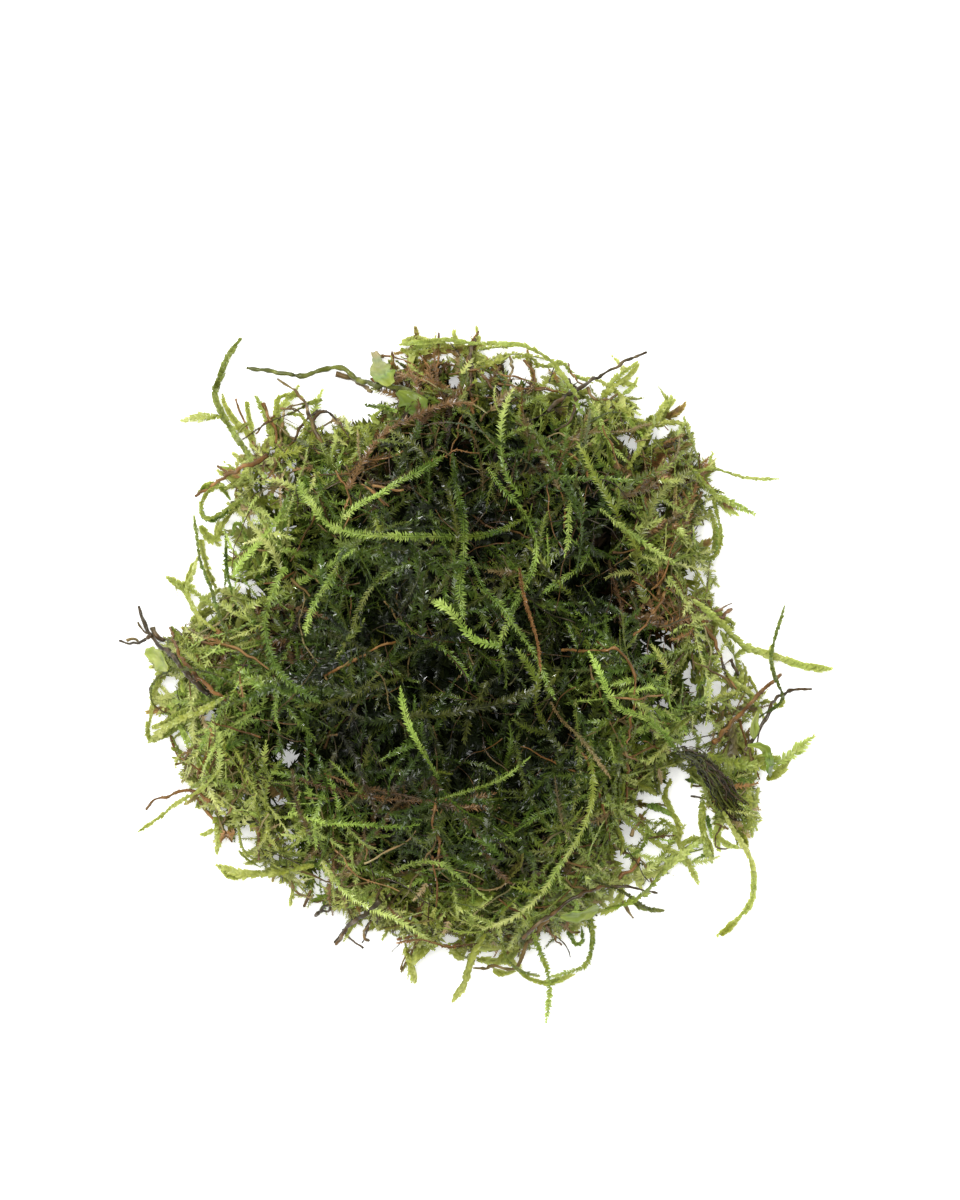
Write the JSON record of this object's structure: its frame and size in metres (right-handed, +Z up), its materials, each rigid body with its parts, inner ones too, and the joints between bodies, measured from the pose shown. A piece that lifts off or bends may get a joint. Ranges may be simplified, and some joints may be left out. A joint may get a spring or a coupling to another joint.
{
  "type": "java moss clump",
  "caption": "Loose low clump of java moss: a dense domed tangle of leafy shoots with stems, fronds and leaf scraps that trail over its ragged rim.",
  "frame": {"origin": "below the middle of the clump's bounding box, on the surface that it rests on", "axes": "+Z up, +X to the right and +Y away from the viewer as the clump is seen from above"},
  "size_m": [0.1032, 0.0996, 0.0314],
  "materials": {
    "moss_green": "moist, leafy",
    "moss_bright": "moist, leafy, fresh tips",
    "moss_pale": "thin, washed out, see-through at the edge",
    "moss_olive": "moist, old leaves",
    "stem_rust": "bare rust-brown stem",
    "stem_tan": "dry tan stem",
    "stem_dark": "dark old stem and fibre"
  },
  "bodies": {
    "root": {"moss_tangle": "moss_green", "drooping_stem_top_left": "stem_dark", "long_stem_top_left": "stem_dark", "hooked_shoot_top_left": "moss_olive", "side_shoot_top_left": "moss_green", "rust_stem_left_edge": "stem_rust", "slim_shoot_left_edge": "moss_olive", "curled_shoot_left": "moss_pale", "forked_shoot_left": "moss_green", "dark_twig_left": "stem_dark", "curled_twig_left": "stem_dark", "orange_stem_left": "stem_rust", "wiry_loop_left": "moss_olive", "pointed_shoot_left": "moss_green", "brown_twig_left_low": "stem_rust", "slim_shoot_left_low": "moss_pale", "broad_frond_bottom_left": "moss_pale", "dark_twig_bottom": "stem_dark", "rust_shoot_bottom": "stem_rust", "pale_frond_bottom": "moss_pale", "folded_tan_stem": "stem_tan", "bottom_loop_right": "moss_green", "bottom_loop_left": "moss_green", "bottom_shoot": "moss_bright", "dark_stem_bottom_right": "stem_dark", "olive_shoot_bottom_right": "moss_olive", "fibre_bundle_right": "stem_dark", "diagonal_shoot_right_low": "moss_bright", "leafy_shoot_right_low": "moss_green", "ribbon_hook_right_low": "moss_pale", "feathery_shoot_right": "moss_bright", "rust_stem_right": "stem_rust", "curled_stem_right": "stem_dark", "long_pale_frond_right": "moss_pale", "thin_stem_right": "moss_olive", "thin_shoot_right_top": "moss_green", "leafy_tip_right_top": "moss_bright", "bent_shoot_right_top": "moss_green", "dark_twig_top_right": "stem_dark", "long_shoot_top": "moss_pale", "arched_shoot_upper": "moss_bright", "spray_upper_left": "moss_green", "curved_shoot_left": "moss_green", "central_shoot": "moss_green", "bright_tip_centre": "moss_bright", "arched_shoot_centre": "moss_green", "diagonal_shoot_centre": "moss_green", "rust_stem_centre": "stem_rust", "tan_stem_centre": "stem_tan", "bright_shoot_right": "moss_bright", "bright_shoot_left_low": "moss_bright", "thin_shoot_low_centre": "moss_bright", "pale_shoot_upper_right": "moss_bright", "low_arch_shoot": "moss_bright", "leaf_left": "moss_pale", "leaf_top": "moss_pale", "leaf_top_folded": "moss_olive", "leaf_bottom": "moss_bright", "leaf_right_blade": "moss_pale", "leaf_right_round": "moss_bright"}
  },
  "joints": []
}
